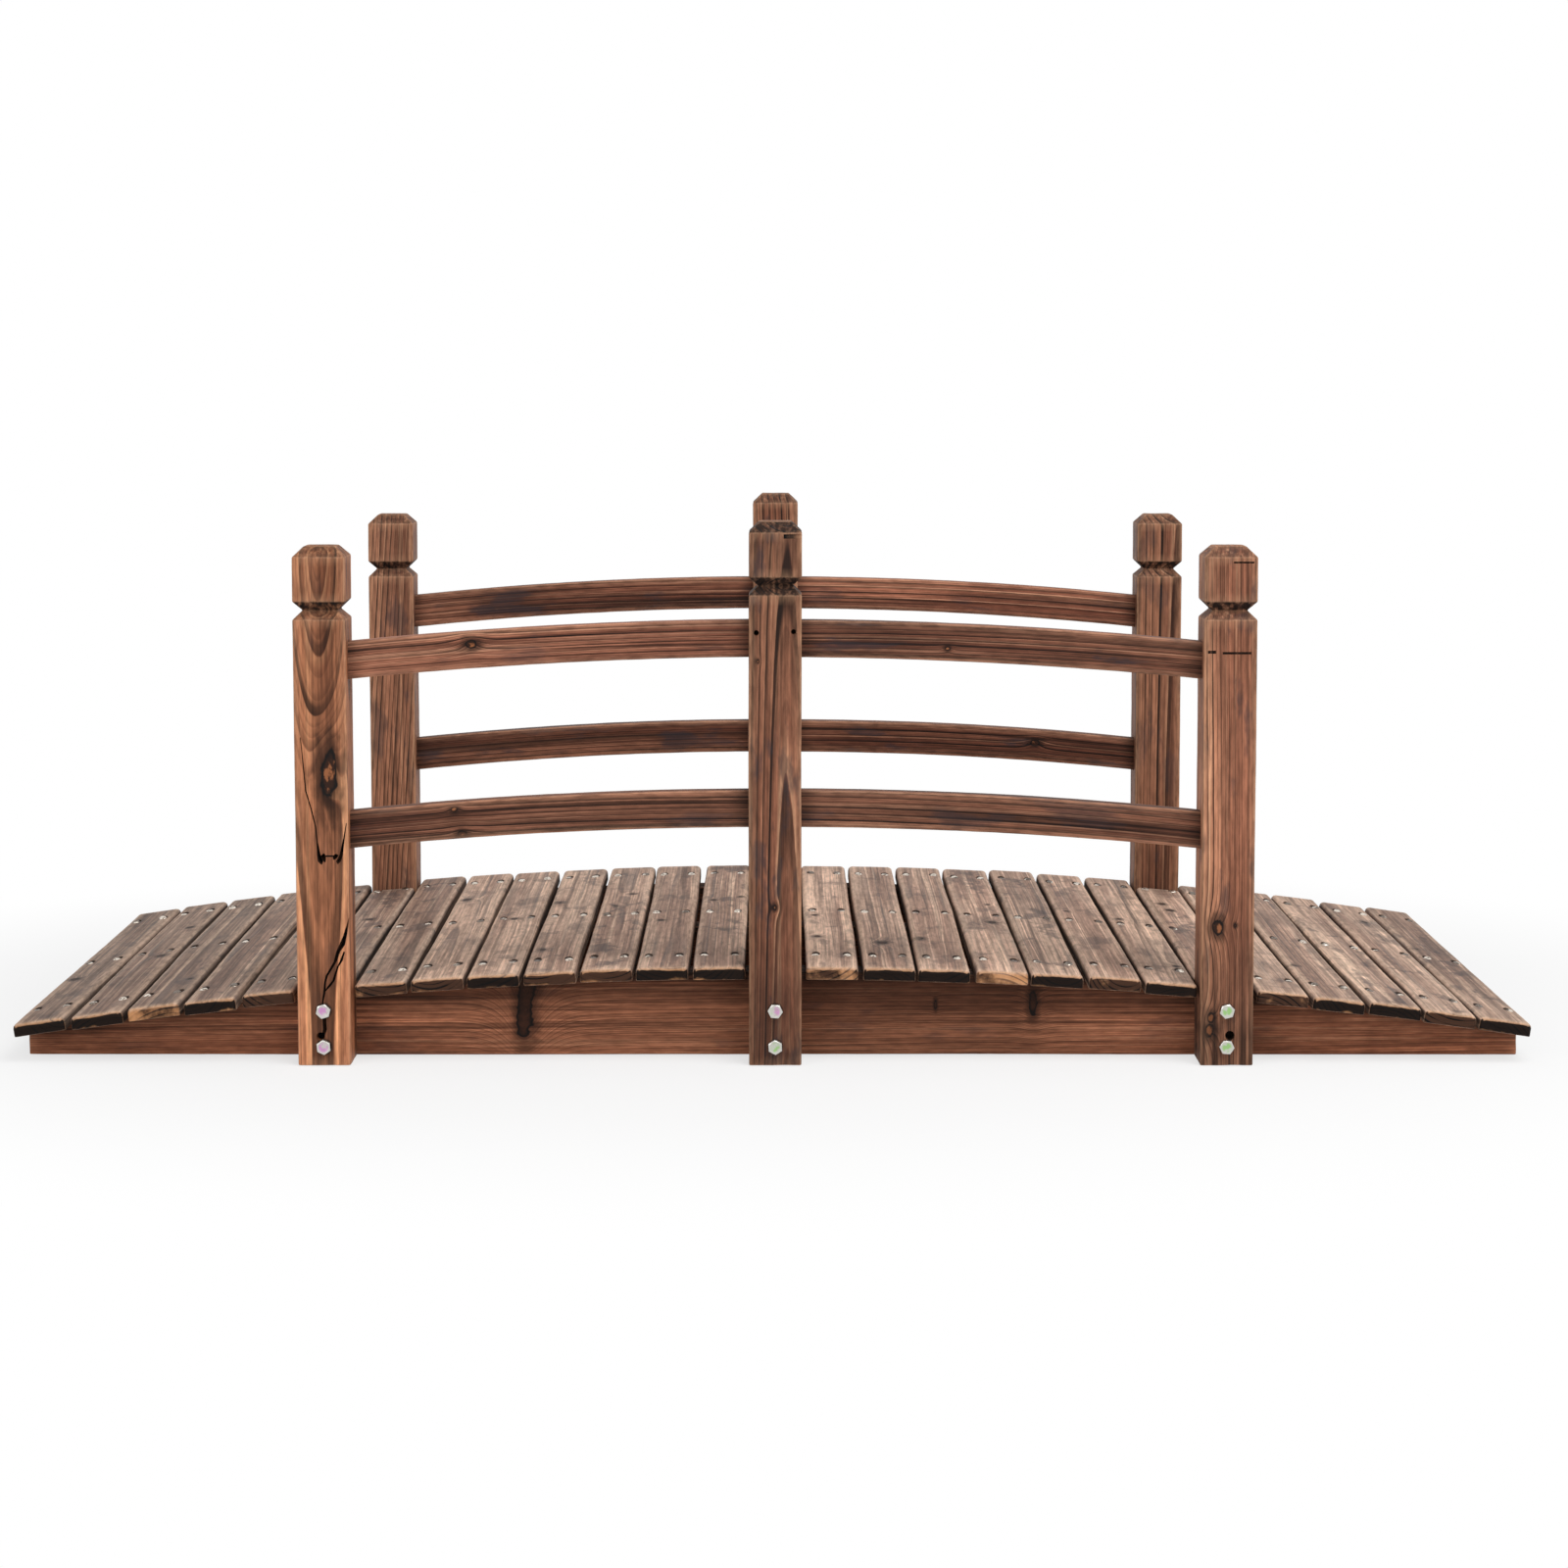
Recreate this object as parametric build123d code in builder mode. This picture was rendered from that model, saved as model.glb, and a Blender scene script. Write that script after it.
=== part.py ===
"""Arched timber garden bridge, 1.5 m long.

Three stringers, flat below and arched above, carry a deck of cross boards. Six square posts stand against the
outer stringers, in the places of three shortened boards, and hold two arched rails on each side in mortises.
X runs along the bridge, Y across it and Z up. The origin is on the ground, under the middle of the deck.
"""

import math
import os

from build123d import *

# Overall
width_over_posts = 673.0

# Deck boards, each laid square to the arch, together a little longer than the stringers
board_count = 27
board_gap = 3.9
deck_overhang = 4.75
board_thickness = 13.5
board_edge_radius = 5.0
board_end_recess = 6.0
board_seat_clearance = 0.1
short_board_clearance = 1.0

# Stringers
stringer_length = 1490.0
stringer_thickness = 38.0
stringer_mid_height = 84.0
stringer_end_height = 26.5

# Posts
boards_between_posts = 7
post_depth = 52.0
post_slot_clearance = 3.9
mid_post_height = 538.5
head_height = 43.5
head_chamfer = 10.5
neck_depth = 9.0

# Rails
rail_height = 36.5
rail_thickness = 20.0
rail_radius = 4150.0
upper_rail_drop = 97.5
rail_spacing = 168.5
tenon_length = 14.0
tenon_clearance = 0.3

# Worked out from the sizes above
stringer_rise = stringer_mid_height - stringer_end_height
stringer_radius = ((stringer_length / 2) ** 2 + stringer_rise**2) / (2 * stringer_rise)
stringer_center_z = stringer_mid_height - stringer_radius
stringer_arc = 2 * stringer_radius * math.asin(stringer_length / 2 / stringer_radius)
stringer_offset = (width_over_posts - stringer_thickness) / 2 - post_depth

deck_arc = stringer_arc + 2 * deck_overhang
board_width = (deck_arc - (board_count - 1) * board_gap) / board_count
board_step = (board_width + board_gap) / stringer_radius
board_length = width_over_posts - 2 * board_end_recess
short_board_length = width_over_posts - 2 * (post_depth + short_board_clearance)

post_width = board_width + 2 * (board_gap - post_slot_clearance)
post_offset = (width_over_posts - post_depth) / 2
post_step = boards_between_posts + 1
post_spacing = stringer_radius * math.sin(post_step * board_step)

middle_board = board_count // 2
post_boards = [middle_board + bay * post_step for bay in (-1, 0, 1)]
side_signs = {"front": -1, "back": 1}
end_signs = {"left": -1, "right": 1}
upper_rail_crown = mid_post_height - upper_rail_drop
rail_crowns = {"upper": upper_rail_crown, "lower": upper_rail_crown - rail_spacing}


def arch_height(crown, radius, x):
    """Height at x of an arch that peaks at height crown over x = 0."""
    return crown - radius + math.sqrt(radius**2 - x**2)


def side_plane(x, y, z):
    """Plane that faces the front of the bridge: its own x runs along the bridge and its own y runs up."""
    return Plane(origin=(x, y, z), x_dir=(1, 0, 0), z_dir=(0, -1, 0))


def end_plane(x, y, z):
    """Plane that faces the right end of the bridge: its own x runs to the back and its own y runs up."""
    return Plane(origin=(x, y, z), x_dir=(0, 1, 0), z_dir=(1, 0, 0))


def rail_outline(start, end, crown, clearance=0):
    """Edges of the arched band of a rail, larger by a clearance above and below."""
    top = crown + clearance
    bottom = crown - rail_height - clearance
    top_radius = rail_radius + clearance
    bottom_radius = rail_radius - rail_height - clearance
    middle = (start + end) / 2
    top_points = [(x, arch_height(top, top_radius, x)) for x in (start, middle, end)]
    bottom_points = [(x, arch_height(bottom, bottom_radius, x)) for x in (end, middle, start)]
    with BuildLine(Plane.XY) as outline:
        ThreePointArc(*top_points)
        Line(top_points[-1], bottom_points[0])
        ThreePointArc(*bottom_points)
        Line(bottom_points[-1], top_points[0])
    return outline.edges()


def make_stringer(y):
    """Beam on the ground with a flat underside and an arched top."""
    half_length = stringer_length / 2
    with BuildPart() as stringer:
        with BuildSketch(side_plane(0, y, 0)):
            with BuildLine():
                Polyline(
                    (half_length, stringer_end_height),
                    (half_length, 0),
                    (-half_length, 0),
                    (-half_length, stringer_end_height),
                )
                ThreePointArc(
                    (-half_length, stringer_end_height),
                    (0, stringer_mid_height),
                    (half_length, stringer_end_height),
                )
            make_face()
        extrude(amount=stringer_thickness / 2, both=True)
    return stringer.part


def make_board(index):
    """Cross board with both long top edges rounded, shorter where a pair of posts stands."""
    angle = (index - middle_board) * board_step
    up = Vector(math.sin(angle), 0, math.cos(angle))
    seat = Vector(0, 0, stringer_center_z) + up * (stringer_radius + board_seat_clearance)
    underside = Plane(origin=seat, x_dir=(math.cos(angle), 0, -math.sin(angle)), z_dir=up)
    length = short_board_length if index in post_boards else board_length
    with BuildPart() as board:
        with BuildSketch(underside):
            Rectangle(board_width, length)
        extrude(amount=board_thickness)
        top_face = board.faces().sort_by(Axis(seat, up))[-1]
        fillet(top_face.edges().filter_by(Axis.Y), radius=board_edge_radius)
    return board.part


def make_post(x, y, height, rail_ends):
    """Square post with a chamfered head over a V-cut neck and blind mortises for the rails.

    rail_ends holds -1 for rails that come from the left and 1 for rails that come from the right.
    """
    neck_z = height - head_chamfer - head_height - neck_depth
    groove_side = neck_depth * math.sqrt(2)
    mortise_width = rail_thickness + 2 * tenon_clearance
    with BuildPart() as post:
        with BuildSketch():
            with Locations((x, y)):
                Rectangle(post_width, post_depth)
        extrude(amount=height)
        chamfer(post.faces().sort_by(Axis.Z)[-1].edges(), length=head_chamfer)
        with BuildSketch(side_plane(x, y, neck_z)):
            with Locations((-post_width / 2, 0), (post_width / 2, 0)):
                Rectangle(groove_side, groove_side, rotation=45)
        extrude(amount=post_depth, both=True, mode=Mode.SUBTRACT)
        with BuildSketch(end_plane(x, y, neck_z)):
            with Locations((-post_depth / 2, 0), (post_depth / 2, 0)):
                Rectangle(groove_side, groove_side, rotation=45)
        extrude(amount=post_width, both=True, mode=Mode.SUBTRACT)
        for sign in rail_ends:
            face_x = x + sign * post_width / 2
            bottom_x = face_x - sign * (tenon_length + tenon_clearance)
            mouth_x = face_x + sign * tenon_length
            for crown in rail_crowns.values():
                with BuildSketch(side_plane(0, y, 0)):
                    make_face(rail_outline(bottom_x, mouth_x, crown, tenon_clearance))
                extrude(amount=mortise_width / 2, both=True, mode=Mode.SUBTRACT)
    return post.part


def make_rail(sign, y, crown):
    """Arched rail from a middle post to an end post, with its ends housed in both."""
    middle_face = post_width / 2
    end_face = post_spacing - post_width / 2
    start = sign * (middle_face - tenon_length)
    end = sign * (end_face + tenon_length)
    with BuildPart() as rail:
        with BuildSketch(side_plane(0, y, 0)):
            make_face(rail_outline(start, end, crown))
        extrude(amount=rail_thickness / 2, both=True)
    return rail.part


def make_pieces():
    """Every piece of the bridge by its name."""
    pieces = {}
    pieces["stringer_middle"] = make_stringer(0)
    for index in range(board_count):
        pieces[f"deck_board_{index + 1:02d}"] = make_board(index)
    end_drop = mid_post_height - arch_height(mid_post_height, rail_radius, post_spacing)
    for side, side_sign in side_signs.items():
        post_y = side_sign * post_offset
        pieces[f"stringer_{side}"] = make_stringer(side_sign * stringer_offset)
        pieces[f"post_{side}_middle"] = make_post(0, post_y, mid_post_height, (-1, 1))
        for end, end_sign in end_signs.items():
            post_x = end_sign * post_spacing
            end_height = mid_post_height - end_drop
            pieces[f"post_{side}_{end}"] = make_post(post_x, post_y, end_height, (-end_sign,))
            for level, crown in rail_crowns.items():
                pieces[f"rail_{level}_{side}_{end}"] = make_rail(end_sign, post_y, crown)
    return pieces


os.makedirs("parts", exist_ok=True)
for name, piece in make_pieces().items():
    piece.label = name
    export_step(piece, f"parts/{name}.step")
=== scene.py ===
"""Looks of the arched timber garden bridge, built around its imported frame.

Lengths are in metres. X runs along the bridge, Y from its front to its back and Z up. A finer timber with
worn edges stands for each timber of the frame, and bolts, nuts and nails are added to them.

A timber has axes of its own: u runs along its grain, v across its shown side and w out of that side.
"""

import math
import random

import bpy
import numpy as np
from mathutils import Matrix, Vector, kdtree, noise
from mathutils.bvhtree import BVHTree


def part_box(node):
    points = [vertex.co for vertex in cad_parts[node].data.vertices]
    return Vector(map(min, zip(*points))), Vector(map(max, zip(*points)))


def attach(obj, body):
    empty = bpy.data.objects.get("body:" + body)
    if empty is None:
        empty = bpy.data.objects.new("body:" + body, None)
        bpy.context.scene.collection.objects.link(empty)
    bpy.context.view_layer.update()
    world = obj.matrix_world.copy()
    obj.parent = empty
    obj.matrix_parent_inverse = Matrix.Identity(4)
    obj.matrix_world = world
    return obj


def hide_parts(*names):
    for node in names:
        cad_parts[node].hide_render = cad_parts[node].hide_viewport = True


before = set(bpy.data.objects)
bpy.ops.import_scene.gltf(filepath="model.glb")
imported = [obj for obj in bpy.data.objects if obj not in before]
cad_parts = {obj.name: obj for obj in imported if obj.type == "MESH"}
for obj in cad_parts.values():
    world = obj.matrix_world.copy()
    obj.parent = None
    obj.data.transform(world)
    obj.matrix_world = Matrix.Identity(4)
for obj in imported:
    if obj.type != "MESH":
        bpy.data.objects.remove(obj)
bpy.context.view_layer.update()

# The noise that roughens the timbers starts from the clock unless it is seeded
noise.seed_set(11)

# Shape of a post's head, and how deep a rail sits in a post
HEAD_HEIGHT = 0.0435
HEAD_CHAMFER = 0.0105
NECK_DEPTH = 0.009
RAIL_HOUSING = 0.014
MORTISE_CLEARANCE = 0.0003

# Rounding of the timbers' edges, and the share of a board's or a stringer's height where its end closes
BOARD_TOP_ROUND = 0.005
BOARD_END_ROUND = 0.0042
SAWN_ROUND = 0.0012
POST_ROUND = 0.0022
RAIL_ROUND = 0.0018
LEAST_ROUND = 0.0003
CAP_SHARE = 0.42

# Hand work: the boards left of the left posts are spread a little further, up to this at the last one, and
# the front stringer is as much longer there
END_BOARD_SPREAD = 0.005

# Cuts: how far they run past the face that they start from, their depths and how dark their insides are
# painted as shade. A split has upright walls down to its lip and narrows below it.
CUT_OVERRUN = 0.001
HOLE_DEPTH = 0.01
HOLE_TAPER = 0.75
KERF_DEPTH = 0.0012
SPLIT_LIP = 0.0006
SPLIT_STEEPNESS = 3.0
CUT_SHADE = 1.6

# Unevenness: slow waves from drying, and a fine roughness that is stronger on sawn ends
WAVE_LENGTHS = (0.9, 0.37, 0.16)
ROUGHNESS = 0.00016
ROUGHNESS_SCALE = 70.0
END_ROUGHNESS = 5

# Wear of a board's long edges, play of its ends and a rail's, and height of a stringer's band under the deck,
# darkened as scorch and as painted shadow of the deck
LONG_EDGE_WEAR = 0.65
BOARD_END_PLAY = (-0.003, 0.001)
RAIL_END_PLAY = 0.002
STRINGER_SCORCH_AND_SHADE = 0.038

# Points nearer than this to a plane or a skin lie on it
ON_PLANE = 1e-4
ON_SKIN = 2e-4

# Steel
BOLT_ACROSS_FLATS = 0.013
BOLT_HEAD_HEIGHT = 0.0053
BOLT_HEIGHTS = (0.019, 0.055)
BOLT_RADIUS = 0.004
BOLT_CASTS = {"left": -0.2, "middle": 0.08, "right": 0.2}
NUT_HEIGHT = 0.0065
WASHER_RADIUS = 0.008
WASHER_THICKNESS = 0.0016
THREAD_OVERHANG = 0.004
THREAD_CHAMFER = 0.0008
NAIL_RADIUS = 0.0041
NAIL_HEIGHT = 0.0016
NAIL_SPREAD = 0.0155
NAIL_SINK = (0.0004, 0.001)
NAIL_SHIFT = 0.0006
DENT_RADIUS = 0.005
DENT_DEPTH = 0.0024
DENT_TAPER = 0.6
DENT_STRETCH = 1.6
DENT_SHIFT = 0.007

# Camera
CAMERA_PLACE = (-0.00084, -3.61869, 0.70983)
CAMERA_PITCH = 5.17641
CAMERA_LENS = 77.258
CAMERA_SHIFT = (0.00613, -0.085)

# Places of the timbers
SIDES = {"front": -1, "back": 1}
ENDS = ("left", "middle", "right")
LEVELS = ("upper", "lower")
STRINGERS = ("front", "middle", "back")
LEFT_POST_BOARD = 6

# Knots are (u, v, radius). A timber has a place in the shader for each of these, and unused ones are far off.
KNOT_SLOTS = ("knot_a", "knot_b", "knot_c", "knot_d", "knot_e")
FAR_OFF = -9.0
NO_KNOT = (FAR_OFF, 0.0, 0.001)

# Lightness of the left and the right rails, and the knots of some
RAIL_TONES = {
    "upper_front": (0.92, 0.6), "lower_front": (0.49, 0.51),
    "upper_back": (0.72, 1.1), "lower_back": (0.51, 0.56),
}
RAIL_KNOTS = {
    "upper_front_left": [(-0.2998, 0.006, 0.0046)],
    "lower_front_left": [(-0.3166, 0.0114, 0.0026), (-0.311, -0.0142, 0.0034)],
    "lower_back_right": [(0.3044, 0.0028, 0.0042)],
    "upper_front_right": [(0.17, -0.006, 0.002)],
}

# Posts: lightness at three heights, how burnt their feet and the slopes of their heads are, and how the grain
# of some of them runs
POST_TONE_HEIGHTS = (0.08, 0.27, 0.43)
POST_TONES = {
    "front_left": (1.37, 1.07, 0.92), "front_middle": (0.74, 0.94, 0.6),
    "front_right": (1.03, 1.26, 1.08), "back_left": (0.8, 0.82, 0.82),
    "back_middle": (0.85, 0.85, 0.85), "back_right": (0.68, 0.7, 0.74),
}
POST_FEET = {"front_left": 0.0, "front_middle": 0.4, "front_right": 0.9}
POST_FOOT_CHAR = 0.12
POST_FOOT_HEIGHT = 0.14
POST_BEVELS = {"front_middle": 0.95}
POST_BEVEL_CHAR = 0.45
POST_GRAIN = {
    "front_left": {
        "pith": (0.001, -0.019), "lean": (0.0, 0.0), "bow": 0.17, "ring_width": 0.0088,
        "smudge": 0.3, "offset": 7.3, "tint": (1.0, 0.91, 0.78),
        "knots": [(0.291, -0.008, 0.0086)], "knot_stretch": 0.34,
    },
    "front_middle": {
        "pith": (-0.012, 0.008), "lean": (0.0, -0.022), "ring_width": 0.0046, "smudge": 1.0,
        "knots": [(0.158, 0.0, 0.0022), (0.402, 0.017, 0.0014)],
    },
    "front_right": {
        "pith": (0.07, 0.0), "lean": (0.012, 0.0), "ring_width": 0.0041, "smudge": 0.9,
        "knots": [
            (0.138, 0.01, 0.0058), (0.035, 0.0175, 0.005), (0.048, 0.016, 0.004), (0.14, -0.007, 0.0016),
        ],
    },
    "back_left": {"pith": (0.03, -0.012), "lean": (0.07, 0.0), "ring_width": 0.005, "smudge": 0.8},
}

# Marks of hand work on the outer faces of the posts, as places (u, v) with sizes: drilled holes with their
# radius, saw kerfs with their height and width, and splits as points with half their width, going up
SCREW_HOLES = [(0.43, 0.0185, 0.0027), (0.431, -0.018, 0.0026)]
POST_HOLES = {
    "front_left": [(0.029, 0.0035, 0.0044)],
    "front_middle": SCREW_HOLES,
    "front_right": [(0.03, -0.003, 0.0048)],
    "back_middle": SCREW_HOLES,
}
POST_KERFS = {
    "front_left": [(0.2093, -0.008, 0.0018, 0.012)],
    "front_middle": [(0.5245, -0.018, 0.0042, 0.02)],
    "front_right": [
        (0.41, -0.006, 0.0024, 0.028), (0.411, 0.0185, 0.003, 0.008), (0.499, -0.012, 0.0018, 0.02),
    ],
}
BOLT_SLOT = [(0.03, 0.001, 0.0016), (0.036, -0.001, 0.002), (0.046, -0.0005, 0.0018), (0.052, 0.0, 0.0008)]
CRACK = [
    (0.058, 0.002, 0.0006), (0.072, -0.0005, 0.0011), (0.083, -0.0015, 0.001), (0.09, -0.0035, 0.0013),
    (0.104, -0.012, 0.0015), (0.114, -0.015, 0.002), (0.121, -0.019, 0.0028), (0.13, -0.022, 0.0018),
    (0.148, -0.026, 0.0005),
]
CRACK_BRANCH = [
    (0.074, -0.001, 0.0006), (0.08, -0.006, 0.0016), (0.085, -0.01, 0.0013), (0.099, -0.0145, 0.0009),
    (0.105, -0.018, 0.0014), (0.114, -0.021, 0.0008),
]
TEAR_LEFT = [
    (0.201, 0.0005, 0.0006), (0.204, 0.0015, 0.0026), (0.21, 0.003, 0.0019), (0.223, 0.0045, 0.0007),
    (0.239, 0.006, 0.0007), (0.256, 0.01, 0.0007), (0.274, 0.015, 0.0007), (0.327, 0.0195, 0.0004),
]
TEAR_RIGHT = [
    (0.2015, -0.0155, 0.0006), (0.2045, -0.0165, 0.0024), (0.21, -0.019, 0.0017), (0.227, -0.022, 0.0007),
    (0.242, -0.0245, 0.0004),
]
NICK_LEFT = [
    (0.203, -0.003, 0.0004), (0.2055, -0.002, 0.002), (0.209, -0.001, 0.003), (0.212, -0.002, 0.0006),
]
NICK_RIGHT = [
    (0.2055, -0.012, 0.0004), (0.2075, -0.013, 0.0022), (0.21, -0.014, 0.0026), (0.2115, -0.014, 0.0006),
]
POST_SPLITS = {
    "front_left": [BOLT_SLOT, CRACK, CRACK_BRANCH, TEAR_LEFT, TEAR_RIGHT, NICK_LEFT, NICK_RIGHT],
}

# Lightness of the stringers at some places along them, and their knots
STRINGER_LIGHTNESS = (
    (-0.75, -0.4, -0.2, -0.03, 0.03, 0.24, 0.34, 0.75),
    (1.2, 1.3, 0.95, 0.88, 0.6, 0.64, 1.22, 1.4),
)
STRINGER_KNOTS = [
    (-0.25, 0.068, 0.026), (-0.251, 0.05, 0.024), (-0.253, 0.034, 0.019), (0.259, 0.053, 0.012),
    (0.161, 0.05, 0.0045),
]

# Lightness of the deck at some of its boards, from the left: the boards' own tone and painted light, which
# rises towards the right where the boards slope towards the light
DECK_TONE_AND_PAINTED_LIGHT = ((1, 5, 8, 15, 22, 26, 27), (0.74, 0.88, 1.16, 1.38, 1.38, 1.3, 0.95))

# Boards whose front ends are bare wood, or show their rings, while the rest are charred
BARE_ENDS = (3, 15, 18)
RINGED_ENDS = (5, 7, 8, 10, 11, 20, 23, 26)


def rgb(red, green, blue):
    """Linear colour for a screen colour with parts from 0 to 255."""
    parts = [value / 255 for value in (red, green, blue)]
    return tuple(p / 12.92 if p <= 0.04045 else ((p + 0.055) / 1.055) ** 2.4 for p in parts) + (1.0,)


WHITE = (1.0, 1.0, 1.0, 1.0)
FLOOR_GREY = (0.86, 0.86, 0.86, 1.0)
CHAR = rgb(15, 12, 11)
SMOKE = rgb(44, 44, 51)
ASH = rgb(92, 61, 44)
KNOT_CORE = rgb(48, 28, 20)
KNOT_EYE = rgb(150, 94, 61)
DARK_EYE = rgb(62, 37, 26)
END_WOOD = rgb(200, 142, 94)
BUMP_STRENGTH = 0.5
BUMP_DEPTH = 0.0006

# Looks of the woods: colours, shares of each mark, lengths in metres and sizes of noise in waves to a metre.
# The rim keys of the post's and the deck's looks size the painted shade round their bolts and nails.
POST_LOOK = {
    "light": rgb(181, 124, 95), "mid": rgb(140, 90, 68), "deep": rgb(76, 46, 35), "dark": rgb(30, 17, 12),
    "pale": rgb(216, 166, 130), "bend": 0.004, "wave": 0.0012, "contrast": 1.0, "plain": 0.5, "fine": 0.3,
    "streak": 0.35, "band": 0.35, "smudge": (11, 34), "smoke": 0.6, "wear": 0.5, "specular": 0.15,
    "burn": 0.4, "burn_size": (6, 22), "scorch": rgb(58, 38, 31), "eye": KNOT_EYE, "push": 2.3,
    "stain": 0.8, "shade_radius": 0.0094, "shade_spread": 0.0, "shade_shift": 0.0, "shade_stretch": 1.0,
}
STRINGER_LOOK = {
    "light": rgb(182, 119, 88), "mid": rgb(143, 90, 65), "deep": rgb(84, 49, 36), "dark": rgb(42, 24, 17),
    "pale": rgb(204, 150, 116), "bend": 0.004, "wave": 0.0008, "contrast": 0.55, "plain": 0.3, "fine": 0.5,
    "streak": 0.5, "band": 0.25, "smudge": (8, 30), "smoke": 0.35, "wear": 0.2, "specular": 0.12,
    "burn": 0.35, "burn_size": (4, 18), "scorch": rgb(56, 33, 25), "eye": DARK_EYE, "push": 1.0,
}
RAIL_LOOK = {
    "light": rgb(186, 124, 97), "mid": rgb(128, 78, 60), "deep": rgb(60, 35, 27), "dark": rgb(22, 12, 9),
    "pale": rgb(218, 164, 132), "bend": 0.003, "wave": 0.0006, "contrast": 1.0, "plain": 0.6, "fine": 0.5,
    "streak": 0.7, "band": 0.6, "smudge": (10, 40), "smoke": 0.6, "wear": 0.45, "specular": 0.12,
    "burn": 0.6, "burn_size": (5, 25), "scorch": rgb(42, 27, 22), "eye": KNOT_EYE, "push": 2.3,
}
# Partly painted sheen: the deck's colours are lighter and greyer than its wood, for the shine of the boards'
# tops
DECK_LOOK = {
    "light": rgb(180, 151, 132), "mid": rgb(148, 119, 103), "deep": rgb(76, 57, 49), "dark": rgb(40, 29, 26),
    "pale": rgb(230, 198, 172), "bend": 0.004, "wave": 0.001, "contrast": 0.5, "plain": 0.2, "fine": 0.2,
    "streak": 0.35, "band": 0.4, "smudge": (20, 32), "smoke": 0.66, "wear": 0.8, "specular": 0.1,
    "burn": 0.56, "burn_size": (5, 16), "scorch": rgb(60, 51, 50), "eye": DARK_EYE, "push": 2.3,
    "stain": 0.92, "shade_radius": 0.0048, "shade_spread": NAIL_SPREAD, "shade_shift": 0.008,
    "shade_stretch": 0.42, "cross": 0.5,
}


class Nodes:
    """Short calls for the nodes of a new material or world."""

    def __init__(self, owner):
        self.owner = owner
        owner.use_nodes = True
        self.tree = owner.node_tree
        self.tree.nodes.clear()

    def add(self, kind, inputs=None, **settings):
        """A node with its settings and inputs filled in."""
        node = self.tree.nodes.new("ShaderNode" + kind)
        for key, value in settings.items():
            setattr(node, key, value)
        for key, value in (inputs or {}).items():
            self.put(node.inputs[key], value)
        return node

    def put(self, socket, value):
        """Links a socket into an input, or writes a plain value there."""
        if isinstance(value, bpy.types.NodeSocket):
            self.tree.links.new(value, socket)
        else:
            socket.default_value = value

    def math(self, operation, *values):
        """A sum on numbers."""
        return self.add("Math", dict(enumerate(values)), operation=operation).outputs[0]

    def times(self, *values):
        """Product of numbers."""
        product = values[0]
        for value in values[1:]:
            product = self.math("MULTIPLY", product, value)
        return product

    def hypot(self, first, second):
        """Root of the sum of two squares."""
        squares = self.math("ADD", self.times(first, first), self.times(second, second))
        return self.math("SQRT", squares)

    def vector(self, operation, *values):
        """A sum on vectors."""
        node = self.add("VectorMath", dict(enumerate(values)), operation=operation)
        return node.outputs["Value" if operation == "LENGTH" else "Vector"]

    def split(self, vector):
        """The three numbers of a vector."""
        return self.add("SeparateXYZ", {"Vector": vector}).outputs[:]

    def attribute(self, name):
        """A vector stored on the mesh."""
        return self.add("Attribute", attribute_name=name).outputs["Vector"]

    def noise(self, vector, waves, detail=2.0, rough=0.5, output="Fac"):
        """Noise on a vector, from its waves to a metre on the first axis and on the other two."""
        along, across = waves
        stretched = self.vector("MULTIPLY", vector, (along, across, across))
        inputs = {"Vector": stretched, "Scale": 1.0, "Detail": detail, "Roughness": rough}
        return self.add("TexNoise", inputs).outputs[output]

    def ramp(self, value, start, end, low=0.0, high=1.0):
        """Smooth change from low at start to high at end."""
        inputs = {"Value": value, "From Min": start, "From Max": end, "To Min": low, "To Max": high}
        return self.add("MapRange", inputs, interpolation_type="SMOOTHSTEP").outputs["Result"]

    def mix(self, factor, first, second, blend="MIX"):
        """Colour between two colours."""
        inputs = {0: factor, 6: first, 7: second}
        return self.add("Mix", inputs, data_type="RGBA", blend_type=blend, clamp_factor=True).outputs[2]

    def blend(self, factor, first, second):
        """Shader between two shaders."""
        inputs = {0: factor, 1: first.outputs[0], 2: second.outputs[0]}
        return self.add("MixShader", inputs).outputs[0]

    def finish(self, inputs, height=None):
        """Closes a material with one surface shader and hands the material back."""
        shader = self.add("BsdfPrincipled", inputs)
        if height is not None:
            relief = self.add("Bump", {"Strength": BUMP_STRENGTH, "Distance": BUMP_DEPTH, "Height": height})
            self.put(shader.inputs["Normal"], relief.outputs["Normal"])
        self.add("OutputMaterial", {"Surface": shader.outputs["BSDF"]})
        return self.owner


def knot_fields(n, along, stretch, look):
    """How far the knots push the rings aside, how near a knot a point is and the wood of the knot itself."""
    u, v, _ = n.split(along)
    ripple = n.math("MULTIPLY_ADD", n.noise(along, (60, 120), 3.0), 1.4, 0.3)
    push, nearest = 0.0, 20.0
    for name in KNOT_SLOTS:
        knot_u, knot_v, radius = n.split(n.attribute(name))
        du = n.times(n.math("SUBTRACT", u, knot_u), stretch)
        dv = n.math("SUBTRACT", v, knot_v)
        reach = n.math("DIVIDE", n.hypot(du, dv), radius)
        fall = n.math("EXPONENT", n.times(reach, -0.6))
        push = n.math("ADD", push, n.times(fall, radius, look["push"]))
        nearest = n.math("MINIMUM", nearest, n.times(reach, ripple))
    patch = n.noise(along, (80, 150), 3.0, 0.6)
    eye = n.math("MULTIPLY_ADD", nearest, -0.3, patch)
    wood = n.mix(n.ramp(eye, 0.32, 0.46), KNOT_CORE, look["eye"])
    wood = n.mix(n.ramp(nearest, 0.5, 0.85), wood, CHAR)
    return push, nearest, wood


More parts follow.
